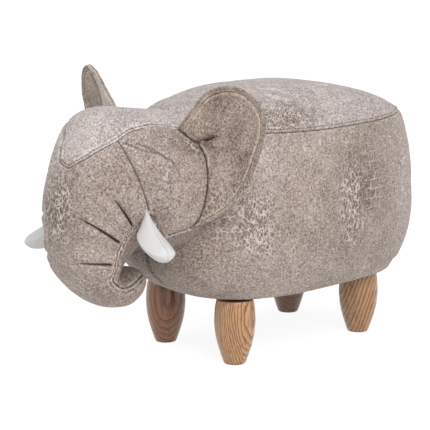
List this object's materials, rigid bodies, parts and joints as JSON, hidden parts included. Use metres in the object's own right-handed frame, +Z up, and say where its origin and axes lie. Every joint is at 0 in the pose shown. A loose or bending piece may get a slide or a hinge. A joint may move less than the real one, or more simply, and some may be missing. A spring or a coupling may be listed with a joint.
{
  "type": "animal footstool",
  "caption": "Stuffed elephant footstool: a padded seat body, a head with a curled trunk, hinged ears and tusks, on turned wooden legs.",
  "frame": {"origin": "on the floor, at the middle of the bounding box's base", "axes": "+Z up, -Y towards the trunk, +X towards the elephant's left side"},
  "size_m": [0.369, 0.585, 0.3854],
  "materials": {
    "leather": "matt, mottled and finely crackled",
    "leather_inner_ear": "matt, mottled and finely crackled, darker",
    "tusk_leather": "matt white",
    "wood": "satin lacquer over open grain",
    "plywood": "bare",
    "foam": "open-cell foam",
    "fibre": "loose fibre filling",
    "steel": "zinc plated",
    "dust_cloth": "black spun cloth",
    "glide_plastic": "matt black"
  },
  "bodies": {
    "stool": {"base_board": "plywood", "body_foam": "foam", "cheek_left": "leather", "cheek_right": "leather", "crown_panel": "leather", "deck_board": "plywood", "dust_cover": "dust_cloth", "front_panel": "plywood", "glide_front_left": "glide_plastic", "glide_front_right": "glide_plastic", "glide_rear_left": "glide_plastic", "glide_rear_right": "glide_plastic", "hanger_bolt_front_left": "steel", "hanger_bolt_front_right": "steel", "hanger_bolt_rear_left": "steel", "hanger_bolt_rear_right": "steel", "head_filling": "fibre", "leg_front_left": "wood", "leg_front_right": "wood", "leg_rear_left": "wood", "leg_rear_right": "wood", "post_front_left": "plywood", "post_front_right": "plywood", "post_rear_left": "plywood", "post_rear_right": "plywood", "rear_panel": "plywood", "seat_foam": "foam", "seat_panel": "leather", "side_band_left": "leather", "side_band_right": "leather", "side_panel_left": "plywood", "side_panel_right": "plywood", "threaded_insert_front_left": "steel", "threaded_insert_front_right": "steel", "threaded_insert_rear_left": "steel", "threaded_insert_rear_right": "steel", "trunk_back_panel": "leather", "trunk_filling": "fibre", "trunk_front_panel": "leather", "tusk_cover_left": "tusk_leather", "tusk_cover_right": "tusk_leather", "tusk_filling_left": "fibre", "tusk_filling_right": "fibre"},
    "ear_left": {"ear_core_left": "foam", "ear_face_left": "leather_inner_ear", "ear_back_left": "leather"},
    "ear_right": {"ear_core_right": "foam", "ear_face_right": "leather_inner_ear", "ear_back_right": "leather"}
  },
  "joints": [
    {"name": "ear_left_swing", "type": "hinge", "parent": "stool", "child": "ear_left", "pos_m": [0.106, -0.146, 0.26], "axis": [0, -0.1977, -0.9803], "range_deg": [-15, 20], "stiffness_Nm_per_rad": 0.5},
    {"name": "ear_right_swing", "type": "hinge", "parent": "stool", "child": "ear_right", "pos_m": [-0.1, -0.126, 0.26], "axis": [0, 0.1977, 0.9803], "range_deg": [-15, 20], "stiffness_Nm_per_rad": 0.5}
  ]
}
